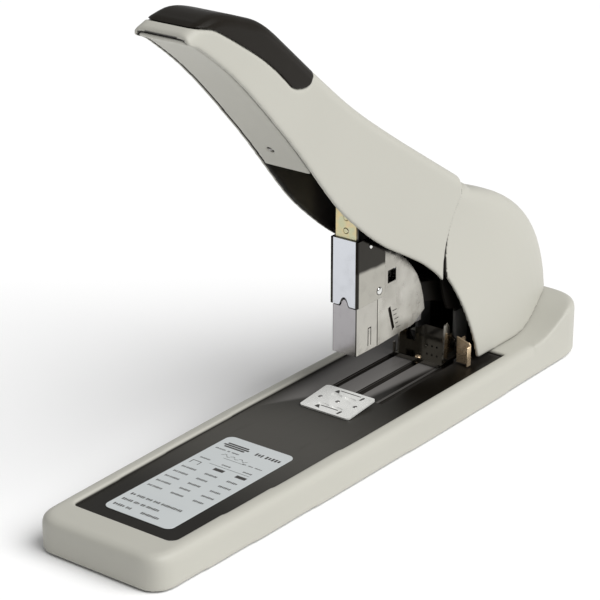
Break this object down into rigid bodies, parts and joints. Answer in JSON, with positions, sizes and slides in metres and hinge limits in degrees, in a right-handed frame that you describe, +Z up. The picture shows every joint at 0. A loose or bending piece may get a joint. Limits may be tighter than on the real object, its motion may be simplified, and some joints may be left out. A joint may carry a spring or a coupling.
{
  "type": "heavy-duty desk stapler",
  "caption": "Long-throat heavy-duty desk stapler with a raised lever handle, plated stapling head, adjustable paper stop and anvil on a long flat base.",
  "frame": {"origin": "on the table under the middle of the base", "axes": "+Y from the front of the base to its rear, +X across it to the right as seen from the front, +Z up"},
  "size_m": [0.0862, 0.3672, 0.2493],
  "materials": {
    "shell": "warm light grey moulded plastic, satin",
    "black_plastic": "black moulded plastic",
    "rubber": "soft black rubber",
    "black_steel": "dark grey painted steel sheet",
    "grey_steel": "bare steel",
    "chrome": "polished nickel-chrome plated steel",
    "yellow_zinc": "yellow passivated zinc on steel",
    "brass": "brass",
    "label_film": "silver printed film",
    "spring_steel": "bright spring wire"
  },
  "bodies": {
    "base": {"base_cover": "shell", "bottom_plate": "black_steel", "foot_front_left": "rubber", "foot_front_right": "rubber", "foot_rear_left": "rubber", "foot_rear_right": "rubber", "base_screw_front_left": "grey_steel", "base_screw_front_right": "grey_steel", "base_screw_rear_left": "grey_steel", "base_screw_rear_right": "grey_steel", "deck_plate": "black_steel", "capacity_label": "label_film", "anvil_plate": "chrome", "anvil_block": "grey_steel", "anvil_rivet_left": "grey_steel", "anvil_rivet_middle": "grey_steel", "anvil_rivet_right": "grey_steel", "chassis_floor": "black_steel", "frame_cheek_left": "black_steel", "frame_cheek_right": "black_steel", "handle_pivot_pin": "grey_steel", "head_pivot_pin": "grey_steel", "return_spring": "spring_steel", "rear_housing": "shell"},
    "handle": {"handle_cover": "shell", "grip_pad": "rubber", "underside_cover": "shell", "handle_lever": "black_steel"},
    "head": {"front_cover": "chrome", "head_plate_left": "chrome", "head_plate_right": "chrome", "head_rivet_lower_left": "chrome", "head_rivet_lower_right": "chrome", "head_rivet_upper_left": "chrome", "head_rivet_upper_right": "chrome", "head_yoke": "black_steel"},
    "driver": {"driver_holder": "yellow_zinc", "driver_blade": "grey_steel", "driver_rivet_upper": "yellow_zinc", "driver_rivet_lower": "yellow_zinc", "drive_pin": "grey_steel"},
    "magazine": {"magazine_front": "chrome", "magazine_rail": "grey_steel", "staple_strip": "spring_steel", "pusher_spring": "spring_steel"},
    "pusher": {"staple_pusher": "black_plastic"},
    "paper_stop": {"paper_stop": "chrome", "stop_guide_pin": "brass", "lock_hub": "black_plastic"},
    "stop_lock": {"stop_lock_lever": "brass"}
  },
  "joints": [
    {"name": "handle_press", "type": "hinge", "parent": "base", "child": "handle", "pos_m": [0, 0.127, 0.073], "axis": [1, 0, 0], "range_deg": [0, 25], "stiffness_Nm_per_rad": 1.2, "springref_deg": -45.84},
    {"name": "head_close", "type": "hinge", "parent": "base", "child": "head", "pos_m": [0, 0.104, 0.052], "axis": [1, 0, 0], "range_deg": [0, 14.5]},
    {"name": "driver_drive", "type": "slide", "parent": "head", "child": "driver", "axis": [0, 0, -1], "range_m": [0, 0.0262]},
    {"name": "magazine_open", "type": "slide", "parent": "head", "child": "magazine", "axis": [0, 1, 0], "range_m": [-0.05, 0]},
    {"name": "pusher_feed", "type": "slide", "parent": "magazine", "child": "pusher", "axis": [0, 1, 0], "range_m": [0, 0.013], "stiffness_N_per_m": 40, "springref_m": -0.02},
    {"name": "paper_stop_slide", "type": "slide", "parent": "base", "child": "paper_stop", "axis": [0, 1, 0], "range_m": [-0.03, 0]},
    {"name": "stop_lock_lift", "type": "hinge", "parent": "paper_stop", "child": "stop_lock", "pos_m": [0.0224, 0.09, 0.02534], "axis": [-1, 0, 0], "range_deg": [0, 15], "stiffness_Nm_per_rad": 0.02, "springref_deg": -17.19}
  ],
  "couplings": [
    {"joint": "head_close", "follows": "handle_press", "ratio": 0.56},
    {"joint": "driver_drive", "follows": "handle_press", "m_per_rad": 0.0596}
  ]
}
